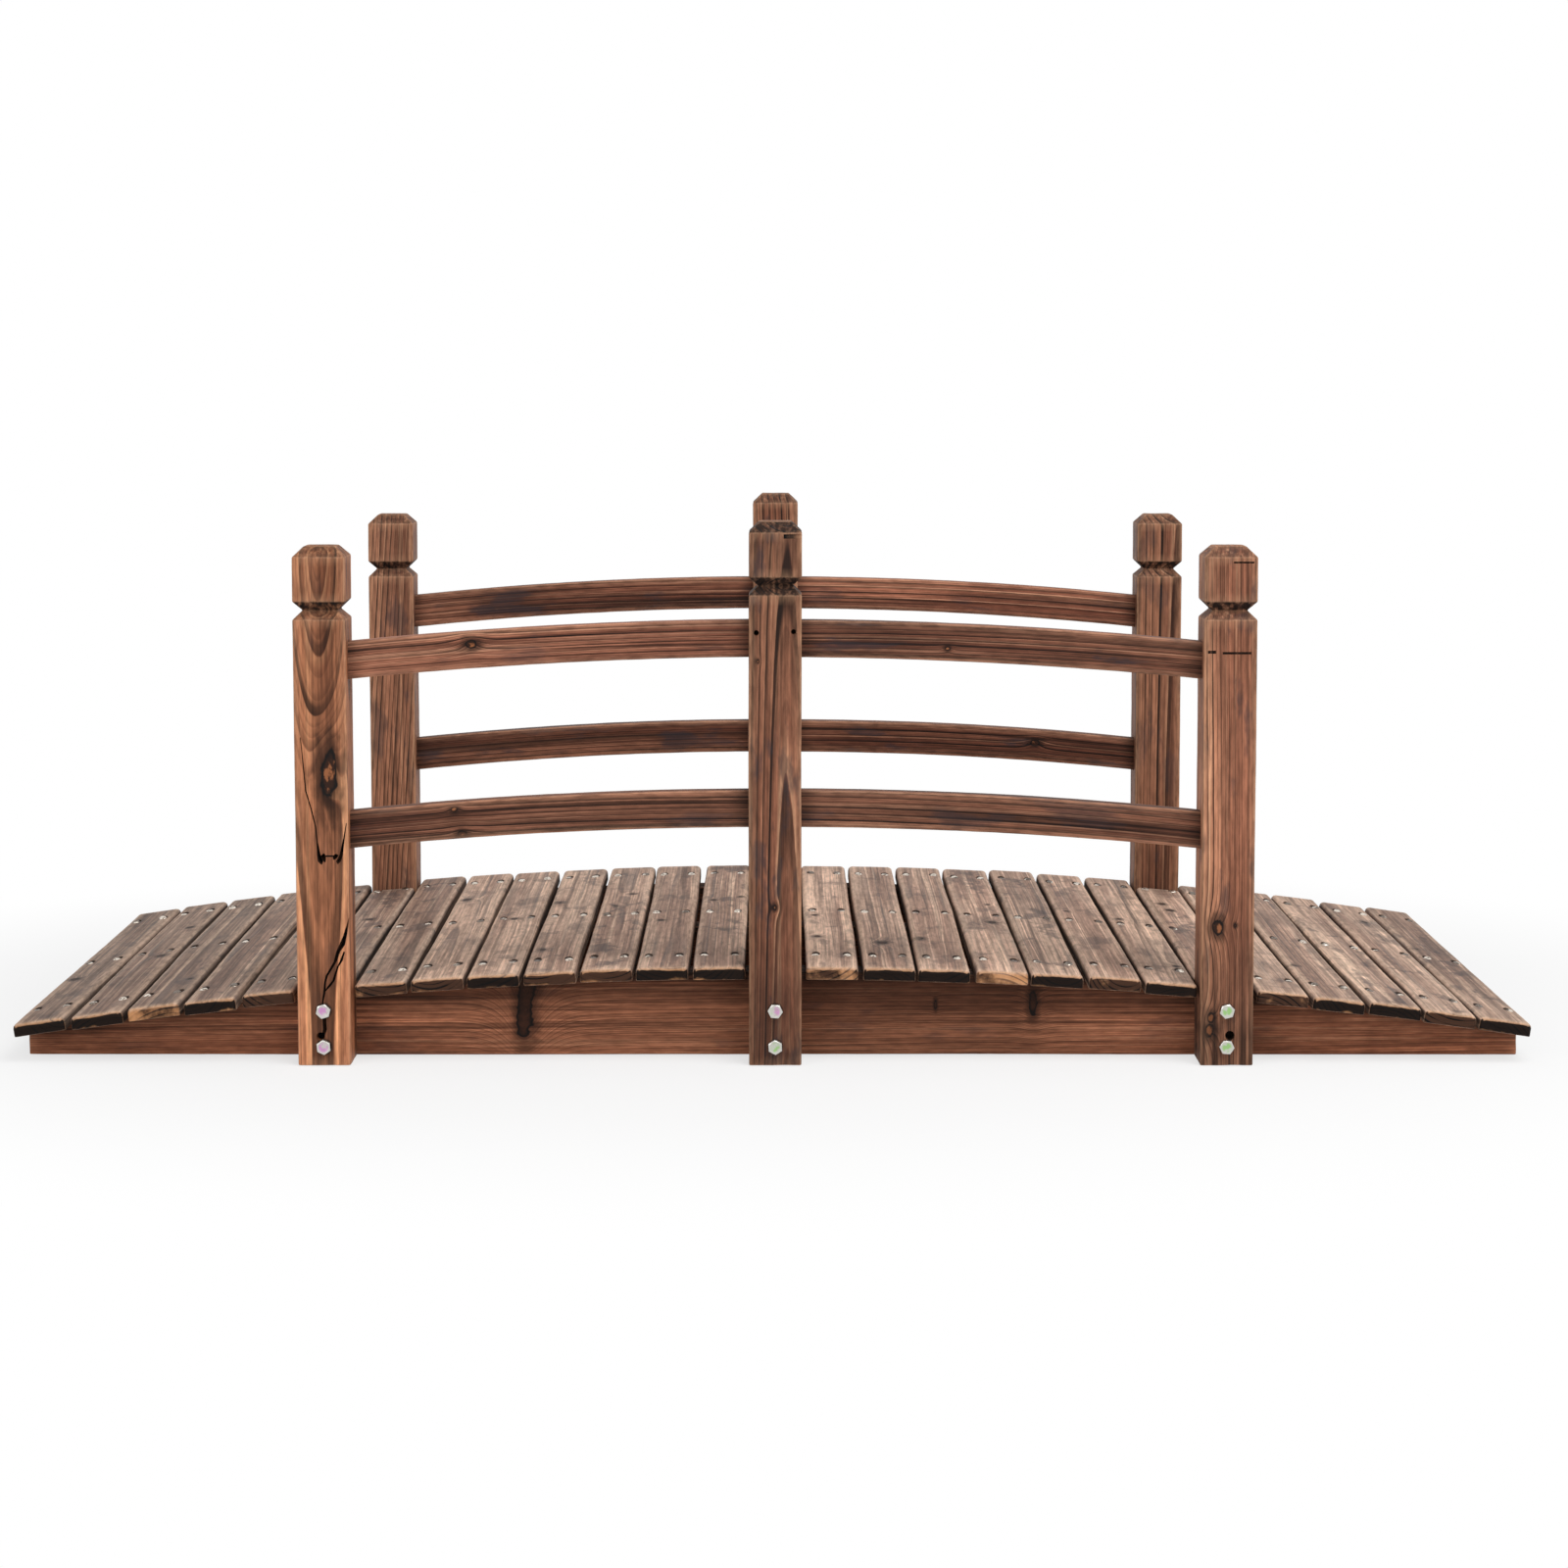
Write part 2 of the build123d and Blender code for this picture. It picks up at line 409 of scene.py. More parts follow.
def growth_rings(n, along, push, look):
    """Dark late wood, pale early wood and fine lines between them, as rings of uneven width and weight."""
    ring = n.attribute("ring")
    width = n.split(ring)[2]
    slow = n.vector("SUBTRACT", n.noise(along, (1.7, 8), 1.0, output="Color"), (0.5, 0.5, 0.5))
    waves = n.vector("SUBTRACT", n.noise(along, (6, 50), output="Color"), (0.5, 0.5, 0.5))
    bent = n.vector("MULTIPLY", ring, (1, 1, 0))
    bent = n.vector("MULTIPLY_ADD", slow, (look["bend"], look["bend"], 0), bent)
    bent = n.vector("MULTIPLY_ADD", waves, (look["wave"], look["wave"], 0), bent)
    turns = n.math("DIVIDE", n.math("ADD", n.vector("LENGTH", bent), push), width)
    drift = n.add("TexNoise", {"W": turns, "Scale": 0.35, "Detail": 1.0}, noise_dimensions="1D")
    phase = n.math("MULTIPLY_ADD", drift.outputs["Fac"], 1.4, turns)
    part = n.math("FRACT", phase)
    weight = n.add("TexWhiteNoise", {"W": n.math("FLOOR", phase)}, noise_dimensions="1D").outputs["Value"]
    soft = n.ramp(part, 0.3, 0.9, 0.0, 0.25)
    line = n.ramp(part, 0.66, 0.8, 0.0, 0.75)
    drop = n.ramp(part, 0.95, 1.0, 1.0, 0.0)
    strength = n.math("MULTIPLY_ADD", weight, 0.6, 0.4)
    plain = n.ramp(n.noise(along, (2.5, 22)), 0.36, 0.58, look["plain"], 1.0)
    strength = n.times(strength, plain)
    late = n.times(n.math("ADD", soft, line), drop, strength)
    early = n.times(n.ramp(part, 0.25, 0.02), n.math("POWER", weight, 3.0))
    between = n.math("FRACT", n.times(phase, 3.0))
    fine = n.times(n.ramp(between, 0.45, 0.85), n.ramp(between, 0.93, 1.0, 1.0, 0.0))
    return late, early, fine


def fastener_shade_field(n, along, look):
    """Painted shade: a dark rim round the nails or bolts of a timber, set behind the nail heads as their
    shadow.
    """
    u, v, _ = n.split(along)
    aside = n.math("SUBTRACT", n.math("ABSOLUTE", v), look["shade_spread"])
    stain = 0.0
    for row in n.split(n.attribute("stain")):
        du = n.math("ADD", n.math("SUBTRACT", u, row), look["shade_shift"])
        span = n.hypot(n.times(du, look["shade_stretch"]), aside)
        stain = n.math("MAXIMUM", stain, n.ramp(span, look["shade_radius"], look["shade_radius"] * 0.7))
    return stain


def wood_material(name, look):
    """Sawn, scorched and brushed softwood."""
    n = Nodes(bpy.data.materials.new(name))
    along = n.attribute("along")
    wear, end, char_and_shade = n.split(n.attribute("mark"))
    stretch, end_char, smudged = n.split(n.attribute("tone"))
    push, knot, knot_wood = knot_fields(n, along, stretch, look)
    late, early, fine = growth_rings(n, along, push, look)
    core = n.ramp(knot, 1.05, 0.85)

    drift = n.noise(along, (1.9, 30), 3.0)
    fibre = n.noise(along, (6, 400), 3.0, 0.65)
    streak = n.noise(along, (1.3, 170), 3.0, 0.6)
    band = n.noise(along, (1.1, 70))
    cloud = n.noise(along, look["smudge"], 4.0, 0.6)
    speck = n.noise(along, (50, 260), 2.0, 0.6)

    colour = n.mix(n.ramp(drift, 0.4, 0.6), look["light"], look["mid"])
    colour = n.mix(n.times(early, 0.6), colour, look["pale"])
    colour = n.mix(n.ramp(streak, 0.44, 0.34, 0.0, 0.4), colour, look["pale"])
    colour = n.mix(n.ramp(band, 0.56, 0.68, 0.0, look["band"]), colour, look["deep"])
    colour = n.mix(n.times(fine, look["fine"]), colour, look["deep"])
    colour = n.mix(n.times(late, look["contrast"]), colour, look["dark"])
    colour = n.mix(n.ramp(streak, 0.57, 0.65, 0.0, look["streak"]), colour, look["dark"])
    colour = n.mix(1.0, colour, n.ramp(fibre, 0.28, 0.72, 0.62, 1.3), "MULTIPLY")
    colour = n.mix(1.0, colour, n.ramp(speck, 0.28, 0.72, 0.8, 1.2), "MULTIPLY")
    colour = n.mix(1.0, colour, n.attribute("tint"), "MULTIPLY")

    grip = n.ramp(fibre, 0.34, 0.56, 0.5, 1.0)
    burn = n.ramp(n.noise(along, look["burn_size"], 3.0, 0.55), 0.53, 0.68, 0.0, look["burn"])
    colour = n.mix(n.times(burn, grip, smudged), colour, look["scorch"])
    smoke = n.times(n.ramp(cloud, 0.54, 0.63), grip)
    if "cross" in look:
        chatter = n.noise(along, (42, 13), 3.0, 0.6)
        smoke = n.math("MAXIMUM", smoke, n.ramp(chatter, 0.61, 0.69, 0.0, look["cross"]))
    colour = n.mix(n.times(smoke, smudged, look["smoke"]), colour, SMOKE)
    colour = n.mix(n.ramp(knot, 2.4, 1.0, 0.0, 0.7), colour, look["dark"])
    colour = n.mix(core, colour, knot_wood)

    rubbed = n.times(wear, n.ramp(speck, 0.34, 0.6, 0.45, 1.0))
    colour = n.mix(n.times(rubbed, look["wear"]), colour, look["pale"])
    colour = n.mix(n.times(end, 0.85), colour, n.mix(late, END_WOOD, look["deep"]))
    burn_and_shade = n.times(n.ramp(end, 0.2, 0.7), n.ramp(n.math("ADD", cloud, end_char), 0.9, 1.1))
    ragged = n.math("MULTIPLY_ADD", cloud, 1.6, n.math("SUBTRACT", wear, 0.8))
    burn_and_shade = n.times(burn_and_shade, n.ramp(ragged, 0.35, 0.75, 1.0, 0.15))
    # The last mark adds charring and painted shade, in cuts, board gaps, under the deck and at rail ends
    burn_and_shade = n.math("MAXIMUM", burn_and_shade, n.times(char_and_shade, n.ramp(streak, 0.38, 0.58, 0.5, 1.0)))
    # Painted shade round the nails and bolts
    if "shade_radius" in look:
        burn_and_shade = n.math("MAXIMUM", burn_and_shade, n.times(fastener_shade_field(n, along, look), look["stain"]))
    ash = n.mix(n.ramp(late, 0.05, 0.5), n.mix(fine, ASH, look["deep"]), CHAR)
    side_soot = n.math("MULTIPLY_ADD", end, -0.85, 0.85)
    soot = n.math("MAXIMUM", n.ramp(end_char, 0.7, 0.9, 0.4, 0.92), side_soot)
    colour = n.mix(burn_and_shade, colour, n.mix(soot, ash, CHAR))

    rough = n.math("ADD", n.ramp(late, 0.0, 1.0, 0.6, 0.5), n.times(burn_and_shade, 0.15))
    height = n.math("MULTIPLY_ADD", late, 0.5, n.times(fibre, 0.5))
    height = n.math("ADD", height, n.ramp(streak, 0.57, 0.67, 0.0, -0.5))
    height = n.math("SUBTRACT", height, n.times(core, 0.5))
    inputs = {"Base Color": colour, "Roughness": rough, "Specular IOR Level": look["specular"]}
    return n.finish(inputs, height)


def zinc_material():
    """Bright zinc plating, tinted on the flat faces of the bolt heads."""
    n = Nodes(bpy.data.materials.new("zinc"))
    share, cast, _ = n.split(n.attribute("plating"))
    place = n.add("NewGeometry").outputs["Position"]
    hue = n.math("ADD", n.noise(place, (90, 90), 1.0), cast)
    tint = n.mix(n.ramp(hue, 0.38, 0.62), rgb(206, 150, 196), rgb(156, 198, 128))
    silver = rgb(204, 202, 196)
    patch = n.ramp(n.noise(place, (170, 170), 1.0), 0.44, 0.6, 0.0, 0.85)
    colour = n.mix(n.ramp(share, 0.24, 0.47), n.mix(patch, tint, silver), silver)
    rough = n.ramp(n.noise(place, (260, 260)), 0.3, 0.7, 0.22, 0.42)
    return n.finish({"Base Color": colour, "Metallic": 1.0, "Roughness": rough})


def nail_material():
    """Plain steel of the nail heads, some of them dull with dirt."""
    n = Nodes(bpy.data.materials.new("nail_steel"))
    place = n.add("NewGeometry").outputs["Position"]
    dirt = n.noise(place, (420, 420))
    colour = n.mix(n.ramp(dirt, 0.48, 0.66), rgb(226, 216, 203), rgb(120, 104, 91))
    dull = n.ramp(n.noise(place, (70, 70), 0.0), 0.5, 0.56, 0.0, 0.8)
    colour = n.mix(dull, colour, rgb(74, 60, 51))
    return n.finish({"Base Color": colour, "Metallic": 1.0, "Roughness": n.ramp(dirt, 0.3, 0.7, 0.25, 0.5)})


def rounded_path(points, faces, radius, step):
    """Rows of (u, inset, end, char, wear) along a timber's outline, with its corners rounded.

    points are (u, inset) corners and faces are the (end, char) marks of the runs between them. That second
    mark stands for charring and for painted shade.
    """
    corners = [np.array(point, float) for point in points]
    marks = [np.array(face, float) for face in faces]
    rows = [(*corners[0], *marks[0], 0.0)]
    for before, corner, after, mark, next_mark in zip(corners, corners[1:], corners[2:], marks, marks[1:]):
        back = (before - corner) / np.linalg.norm(before - corner)
        ahead = (after - corner) / np.linalg.norm(after - corner)
        first = corner + back * radius
        last = corner + ahead * radius
        middle = (first + last) / 4 + corner / 2
        rows += [(*first, *mark, 0.4), (*middle, *((mark + next_mark) / 2), 1.0), (*last, *next_mark, 0.4)]
    rows.append((*corners[-1], *marks[-1], 0.0))
    rows = np.array(rows)
    dense = [rows[:1]]
    for start, stop in zip(rows, rows[1:]):
        count = max(1, math.ceil(np.linalg.norm(stop[:2] - start[:2]) / step))
        share = np.arange(1, count + 1)[:, None] / count
        run = start + (stop - start) * share
        run[:-1, 4] = 0.0
        dense.append(run)
    return np.concatenate(dense)


def rounded_section(low, high, radii, steps):
    """Points around a rectangle with rounded corners, and how worn each of them is.

    radii go with the corners, from (high v, low w) round by (high v, high w). steps are the parts of a side
    along v and of a side along w.
    """
    turns = 3
    corners = ((high[0], low[1]), (high[0], high[1]), (low[0], high[1]), (low[0], low[1]))
    inward = ((-1, 1), (-1, -1), (1, -1), (1, 1))
    arcs = []
    for index, (corner, sign, radius) in enumerate(zip(corners, inward, radii)):
        center = np.array(corner) + np.array(sign) * radius
        angles = np.radians(-90 + 90 * index + 90 * np.arange(turns + 1) / turns)
        arcs.append(center + radius * np.stack([np.cos(angles), np.sin(angles)], axis=1))
    points, worn = [], []
    for index, arc in enumerate(arcs):
        following = arcs[(index + 1) % 4]
        parts = steps[1] if index % 2 == 0 else steps[0]
        share = np.arange(1, parts)[:, None] / parts
        points += [arc, arc[-1] + (following[0] - arc[-1]) * share]
        worn += [0.4] + [1.0] * (turns - 1) + [0.4] + [0.0] * (parts - 1)
    return np.concatenate(points), np.array(worn)


class Timber:
    """One timber in its own axes, from its outline to a placed piece."""

    bow = 0.0
    knots = ()
    shade_rows = ()
    knot_stretch = 0.72
    tint = (1.0, 1.0, 1.0)
    end_char = 0.7

    def __init__(self, node, slot, seed):
        self.node = node
        self.slot = slot
        self.rng = random.Random(seed)
        self.offset = self.rng.uniform(0, 40)

    def loft(self, path, section_at, steps):
        """Skins the outline path. section_at(u, inset) gives a section's low and high corners and radii."""
        rings, marks = [], []
        for u, inset, end, char_and_shade, wear in path:
            points, worn = rounded_section(*section_at(u, inset), steps)
            rings.append(np.column_stack([np.full(len(points), u), points]))
            marks.append(np.column_stack([np.maximum(worn, wear), np.full((len(points), 2), (end, char_and_shade))]))
        self.points = np.concatenate(rings)
        self.marks = np.concatenate(marks)
        self.mesh = bpy.data.meshes.new(self.node + "_visual")
        self.mesh.from_pydata(self.points.tolist(), [], skin_faces(len(rings), len(rings[0])))

    def cut(self, cutters):
        """Takes closed cutter shapes, in the timber's own axes, out of the timber."""
        body = add_object("cut_body", self.mesh)
        tool = add_object("cut_tool", joined("cut_tool", cutters))
        modifier = body.modifiers.new("cut", "BOOLEAN")
        modifier.object = tool
        modifier.operation = "DIFFERENCE"
        modifier.solver = "EXACT"
        modifier.use_self = True
        done = body.evaluated_get(bpy.context.evaluated_depsgraph_get())
        mesh = bpy.data.meshes.new_from_object(done)
        tree = kdtree.KDTree(len(self.points))
        for index, point in enumerate(self.points):
            tree.insert(point, index)
        tree.balance()
        skin = BVHTree.FromPolygons(self.points.tolist(), [face.vertices[:] for face in self.mesh.polygons])
        self.points = vertex_places(mesh)
        self.marks = self.marks[[tree.find(point)[1] for point in self.points]]
        depths = np.array([skin.find_nearest(Vector(point))[3] for point in self.points])
        # Painted shade: the points inside a cut are darkened
        self.marks[depths > ON_SKIN] = (0.0, 0.0, CUT_SHADE)
        for thing in (body, tool):
            bpy.data.objects.remove(thing)
        self.mesh = mesh

    def uneven(self, waviness):
        """Points moved a little, as by drying and by hand work."""
        moved = self.points.copy()
        u = self.points[:, 0]
        for axis in (1, 2):
            for length in WAVE_LENGTHS:
                turn = self.rng.uniform(0, 2 * math.pi)
                moved[:, axis] += waviness * length * np.sin(2 * math.pi * u / length + turn)
        start = Vector((self.offset, 0, 0))
        for row, point, mark in zip(moved, self.points, self.marks):
            rough = np.array(noise.noise_vector((Vector(point) + start) * ROUGHNESS_SCALE)) * ROUGHNESS
            row += rough * (mark[1] * END_ROUGHNESS, 1, 1)
        return moved

    def write_grain(self):
        """Stores where each point lies in the log that the timber was sawn from, and its marks."""
        count = len(self.points)
        u, v, w = self.points.T
        pith_v = self.pith[0] + self.lean[0] * u
        pith_w = self.pith[1] + self.lean[1] * u + self.bow * u**2
        shade_rows = [*self.shade_rows, FAR_OFF, FAR_OFF, FAR_OFF][:3]
        fields = {
            "along": np.column_stack([u + self.offset, v, w]),
            "ring": np.column_stack([v - pith_v, w - pith_w, np.full(count, self.ring_width)]),
            "mark": self.marks,
            "tint": np.outer(np.broadcast_to(self.lightness, count), self.tint),
            "tone": (self.knot_stretch, self.end_char, self.smudge),
            "stain": np.add(shade_rows, self.offset),
        }
        for name, knot in zip(KNOT_SLOTS, [*self.knots, *[NO_KNOT] * len(KNOT_SLOTS)]):
            fields[name] = np.add(knot, (self.offset, 0, 0))
        for name, rows in fields.items():
            store_vectors(self.mesh, name, rows)

    def place(self, to_world, waviness):
        """Stands the finished timber in the frame for its CAD node."""
        self.write_grain()
        placed = to_world(self.uneven(waviness))
        placed[:, 2] = np.maximum(placed[:, 2], 0.0)
        self.mesh.vertices.foreach_set("co", np.ascontiguousarray(placed, dtype=np.float32).ravel())
        self.mesh.shade_smooth()
        self.mesh.set_sharp_from_angle(angle=math.radians(50))
        piece = add_piece(self.node + "_visual", self.mesh, materials[self.slot])
        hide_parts(self.node)


def store_vectors(mesh, name, rows):
    """Puts a vector on each point of a mesh, from a row for each point or one row for all."""
    rows = np.broadcast_to(rows, (len(mesh.vertices), 3))
    attribute = mesh.attributes.new(name, "FLOAT_VECTOR", "POINT")
    attribute.data.foreach_set("vector", np.ascontiguousarray(rows, dtype=np.float32).ravel())


def vertex_places(mesh):
    """Places of a mesh's vertices as rows."""
    places = np.zeros(len(mesh.vertices) * 3, np.float32)
    mesh.vertices.foreach_get("co", places)
    return places.reshape(-1, 3).astype(float)


def node_points(node):
    """Places of a CAD node's vertices as rows."""
    return vertex_places(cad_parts[node].data)


def joined(name, shapes):
    """One mesh from (points, faces) shapes."""
    points, faces = [], []
    for shape_points, shape_faces in shapes:
        faces += [tuple(index + len(points) for index in face) for face in shape_faces]
        points += [tuple(point) for point in shape_points]
    mesh = bpy.data.meshes.new(name)
    mesh.from_pydata(points, [], faces)
    return mesh


def add_object(name, data):
    """A new object in the scene."""
    thing = bpy.data.objects.new(name, data)
    bpy.context.scene.collection.objects.link(thing)
    return thing


def add_piece(name, mesh, material):
    """A new piece of the object that rides with the frame."""
    piece = add_object(name, mesh)
    mesh.materials.clear()
    mesh.materials.append(material)
    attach(piece, "root")
    return piece


def moved_shape(shape, matrix):
    """A (points, faces) shape under a transform."""
    points, faces = shape
    return [matrix @ Vector(point) for point in points], faces


def skin_faces(rows, count):
    """Faces over rows of points, count to a row, closed by a cap on the first row and on the last."""
    last = (rows - 1) * count
    faces = []
    for base in range(0, last, count):
        for column in range(count):
            after = (column + 1) % count
            faces.append((base + column, base + after, base + count + after, base + count + column))
    return faces + [tuple(range(count))[::-1], tuple(range(last, last + count))]


def turned(profile, count=20):
    """Shape around Z from (radius, height) rings, where both are numbers or have one for each angle."""
    angles = 2 * math.pi * np.arange(count) / count
    points = []
    for radius, height in profile:
        ring = np.broadcast_arrays(radius * np.cos(angles), radius * np.sin(angles), height)
        points += np.column_stack(ring).tolist()
    return points, skin_faces(len(profile), count)


def hex_shape(across_flats, height):
    """Hexagon head that stands on z = 0, has its top corners turned off and is a little hollow on top."""
    count, sixth, hollow = 72, math.pi / 3, 0.0002
    off_flat = (2 * math.pi * np.arange(count) / count + sixth / 2) % sixth - sixth / 2
    side = across_flats / 2 / np.cos(off_flat)
    top = across_flats / 2 * 0.94
    shoulder = height - (side - top) * math.tan(math.radians(28))
    rim = [(side, 0), (side, shoulder), (top, height)]
    return turned(rim + [(top * 0.8, height - hollow), (top * 0.55, height - 2 * hollow)], count)


def box_shape(center, size, turn=0.0):
    """Box in a timber's own axes, turned in its u-v plane."""
    section = ((-0.5, -0.5), (0.5, -0.5), (0.5, 0.5), (-0.5, 0.5))
    corners = [np.multiply((u, v, w), size) for u in (-0.5, 0.5) for v, w in section]
    matrix = Matrix.Translation(center) @ Matrix.Rotation(turn, 4, "Z")
    return moved_shape((corners, skin_faces(2, len(section))), matrix)


def hole_shape(place, radius, depth, taper, stretch=1):
    """Cutter for a round hole that is narrower inside and may be drawn out along the grain."""
    shape = turned([(radius * taper, -depth), (radius, 0), (radius, CUT_OVERRUN)])
    return moved_shape(shape, Matrix.Translation(place) @ Matrix.Diagonal((stretch, 1, 1, 1)))


def split_shape(line, face_w):
    """Cutter for a split into a face at w = face_w, along a line of (u, v, half width) towards high u."""
    top, lip = face_w + CUT_OVERRUN, face_w - SPLIT_LIP
    points = []
    for u, v, half in line:
        left, right = v - half, v + half
        tip = lip - half * SPLIT_STEEPNESS
        points += [(u, left, lip), (u, v, tip), (u, right, lip), (u, right, top), (u, left, top)]
    return points, skin_faces(len(line), len(points) // len(line))


def arch_through(x1, z1, x2, z2):
    """Center height and radius of the arch around x = 0 through two points."""
    center = (x1**2 + z1**2 - x2**2 - z2**2) / (2 * (z1 - z2))
    return center, math.hypot(x1, z1 - center)


def capped_path(start, stop, cap, radius, step):
    """Outline path of a plain timber: one end, its sides and the other end, closed at an inset of cap."""
    corners = [(start, cap), (start, 0), (stop, 0), (stop, cap)]
    return rounded_path(corners, [(1, 0), (0, 0), (1, 0)], radius, step)


def board_frame(node):
    """A board's v and w axes, the middle of its underside, its half length, half width and thickness."""
    points = node_points(node)
    spread = np.cov(points[:, 0], points[:, 2])
    angle = -0.5 * math.atan2(2 * spread[0, 1], spread[0, 0] - spread[1, 1])
    along_v = np.array([math.cos(angle), 0, -math.sin(angle)])
    along_w = np.array([math.sin(angle), 0, math.cos(angle)])
    node_v, node_w = points @ along_v, points @ along_w
    origin = along_v * ((node_v.min() + node_v.max()) / 2) + along_w * node_w.min()
    return along_v, along_w, origin, np.ptp(points[:, 1]) / 2, np.ptp(node_v) / 2, np.ptp(node_w)


def mark_board(board, path, half_width, thickness):
    """Marks the ends sawn, darkens the gap sides with charring and painted shade, keeps wear to the top
    edges.
    """
    _, across, above = board.points.T
    low_side = above < thickness - BOARD_TOP_ROUND / 2
    at_end = board.marks[:, 1] > 0.2
    board.marks[low_side & at_end, 1] = 1.0
    # Charring and painted shade on the board's sides in the gaps between boards
    in_gap = (above < thickness - BOARD_TOP_ROUND * 0.6) & (np.abs(across) > half_width - BOARD_TOP_ROUND / 2)
    board.marks[in_gap & ~at_end, 2] = 0.9
    board.marks[low_side, 0] = 0.0
    board.marks[at_end & (above < 2 * SAWN_ROUND), 0] = 0.4
    end_wear = np.repeat(path[:, 4], len(board.points) // len(path))
    board.marks[end_wear < 0.3, 0] *= LONG_EDGE_WEAR


def grow_board(board, number):
    """Draws how a board lay in its log, its knots and its tones."""
    rng = board.rng
    board.pith = (rng.uniform(-0.03, 0.03), rng.choice((-1, 1)) * rng.uniform(0.025, 0.08))
    board.lean = (rng.uniform(-0.008, 0.008), rng.uniform(-0.01, 0.01))
    board.ring_width = rng.uniform(0.004, 0.0062)
    board.knots = [
        (rng.uniform(-0.25, 0.25), rng.uniform(-0.02, 0.02), rng.uniform(0.002, 0.005))
        for _ in range(rng.choice((0, 0, 1, 1, 2)))
    ]
    # The board's own tone and painted light, lighter towards the right
    board.lightness = np.interp(number, *DECK_TONE_AND_PAINTED_LIGHT) * rng.uniform(0.86, 1.14)
    board.end_char = 0.5 if number in BARE_ENDS else 0.7 if number in RINGED_ENDS else 0.9
    board.smudge = rng.uniform(0.5, 1.0)


def make_board(number):
    """Cross board, worn along its top edges and charred on its ends, with its nails."""
    node = f"deck_board_{number:02d}"
    along_v, along_w, origin, half_length, half_width, thickness = board_frame(node)
    board = Timber(node, "deck_wood", seed=100 + number)
    rng = board.rng
    front, back = (half_length + rng.uniform(*BOARD_END_PLAY) for _ in range(2))
    cap = thickness * CAP_SHARE
    path = capped_path(-back, front, cap, BOARD_END_ROUND, step=0.01)

    def section_at(u, inset):
        stations = (0, SAWN_ROUND, BOARD_END_ROUND, cap)
        below = np.interp(inset, stations, (0, SAWN_ROUND, SAWN_ROUND, cap))
        half = half_width - np.interp(inset, stations, (0, SAWN_ROUND, 2 * SAWN_ROUND, cap))
        top = np.interp(inset, stations[1:], (BOARD_TOP_ROUND, BOARD_TOP_ROUND * 0.8, LEAST_ROUND))
        bottom = max(SAWN_ROUND - inset, LEAST_ROUND)
        return (-half, below), (half, thickness - inset), (bottom, top, top, bottom)

    board.loft(path, section_at, steps=(8, 2))
    mark_board(board, path, half_width, thickness)
    grow_board(board, number)
    rows = [-sum(corner.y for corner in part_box(f"stringer_{place}")) / 2 for place in STRINGERS]
    # Rows of the nails, which also place their painted shade
    board.shade_rows = [row + rng.uniform(-0.003, 0.003) for row in rows]
    nails = [
        (u + rng.uniform(-0.002, 0.002), side * NAIL_SPREAD + rng.uniform(-0.001, 0.001))
        for u in board.shade_rows for side in (-1, 1)
    ]
    dents = [(u - DENT_SHIFT, v, thickness) for u, v in nails]
    board.cut([hole_shape(dent, DENT_RADIUS, DENT_DEPTH, DENT_TAPER, DENT_STRETCH) for dent in dents])
    past_post = max(0, LEFT_POST_BOARD - number) / (LEFT_POST_BOARD - 1)
    shift = rng.uniform(-0.0006, 0.0006) - END_BOARD_SPREAD * past_post
    swing = rng.uniform(-0.002, 0.002)

    def to_world(rows):
        v = rows[:, 1] + shift + swing * rows[:, 0]
        placed = origin + np.outer(v, along_v) + np.outer(rows[:, 2], along_w)
        placed[:, 1] = -rows[:, 0]
        return placed

    board.place(to_world, waviness=0.0006)
    add_nails(number, nails, thickness, to_world, rng)


def add_nails(number, nails, top, to_world, rng):
    """Two nails through a board into each stringer, driven more or less straight."""
    axes = to_world(np.eye(3)) - to_world(np.zeros((1, 3)))
    turn = Matrix(axes.tolist()).transposed().to_4x4()
    shapes = []
    for u, v in nails:
        place = to_world(np.array([[u + NAIL_SHIFT, v, top - rng.uniform(*NAIL_SINK)]]))[0]
        nod = Matrix.Rotation(rng.uniform(0.08, 0.5), 4, "Y")
        roll = Matrix.Rotation(rng.uniform(-0.15, 0.15), 4, "X")
        shapes.append(moved_shape(nail_shape, Matrix.Translation(place) @ turn @ nod @ roll))
    mesh = joined(f"nails_{number:02d}", shapes)
    mesh.shade_smooth()
    add_piece(mesh.name, mesh, materials["nails"])


